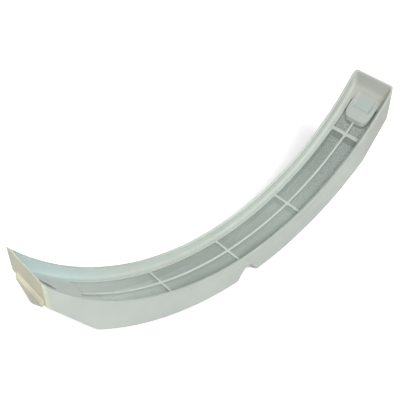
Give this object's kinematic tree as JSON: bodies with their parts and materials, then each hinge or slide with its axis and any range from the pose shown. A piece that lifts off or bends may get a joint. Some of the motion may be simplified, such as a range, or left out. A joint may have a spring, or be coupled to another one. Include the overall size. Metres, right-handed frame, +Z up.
{
  "type": "tumble dryer lint filter",
  "caption": "Curved plastic channel with a ribbed floor over fine woven mesh, a finger grip at one end and a locating lip at the other; catches lint below a dryer's loading door.",
  "frame": {"origin": "bottom centre of the bounding box, on the surface that the skirts rest on", "axes": "+X along the channel towards the finger grip, -Y towards the front wall with the notch, +Z up out of the trough"},
  "size_m": [0.3372, 0.042, 0.1153],
  "materials": {
    "moulding": "satin moulded plastic, grey-white, yellowed at the lip end",
    "mesh": "fine plain-woven monofilament"
  },
  "bodies": {
    "root": {"filter_frame": "moulding", "mesh_screen": "mesh"}
  },
  "joints": []
}
